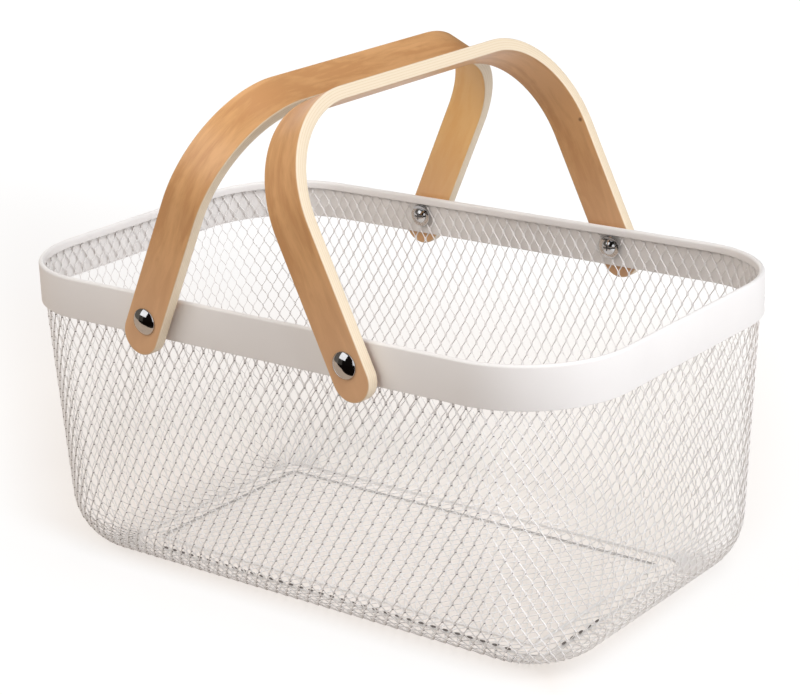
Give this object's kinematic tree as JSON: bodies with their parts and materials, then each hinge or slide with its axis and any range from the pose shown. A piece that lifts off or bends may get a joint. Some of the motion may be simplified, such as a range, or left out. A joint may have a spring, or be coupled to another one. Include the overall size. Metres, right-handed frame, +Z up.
{
  "type": "mesh storage basket with folding handles",
  "caption": "Rectangular open storage basket of white expanded metal with a steel rim band and bentwood carrying handles that fold outward.",
  "frame": {"origin": "middle of the footprint, on the surface that the basket stands on", "axes": "+X along the long side, +Y from the front to the back, +Z up"},
  "size_m": [0.4, 0.2778, 0.3028],
  "materials": {
    "mesh": "white powder-coated expanded steel",
    "band": "white powder-coated sheet steel",
    "handle_wood": "clear-lacquered laminated birch",
    "hardware": "polished chrome plate",
    "spacer": "moulded white nylon"
  },
  "bodies": {
    "basket": {"mesh_wall": "mesh", "mesh_base": "mesh", "rim_band": "band", "barrel_nut_front_left": "hardware", "barrel_nut_front_right": "hardware", "barrel_nut_back_left": "hardware", "barrel_nut_back_right": "hardware", "spacer_front_left": "spacer", "spacer_front_right": "spacer", "spacer_back_left": "spacer", "spacer_back_right": "spacer", "washer_front_left": "hardware", "washer_front_right": "hardware", "washer_back_left": "hardware", "washer_back_right": "hardware", "screw_front_left": "hardware", "screw_front_right": "hardware", "screw_back_left": "hardware", "screw_back_right": "hardware"},
    "left_handle": {"left_handle": "handle_wood"},
    "right_handle": {"right_handle": "handle_wood"}
  },
  "joints": [
    {"name": "left_handle_hinge", "type": "hinge", "parent": "basket", "child": "left_handle", "pos_m": [-0.071, 0, 0.17175], "axis": [0, -1, 0], "range_deg": [-0.6, 126]},
    {"name": "right_handle_hinge", "type": "hinge", "parent": "basket", "child": "right_handle", "pos_m": [0.071, 0, 0.17175], "axis": [0, 1, 0], "range_deg": [-0.6, 126]}
  ]
}
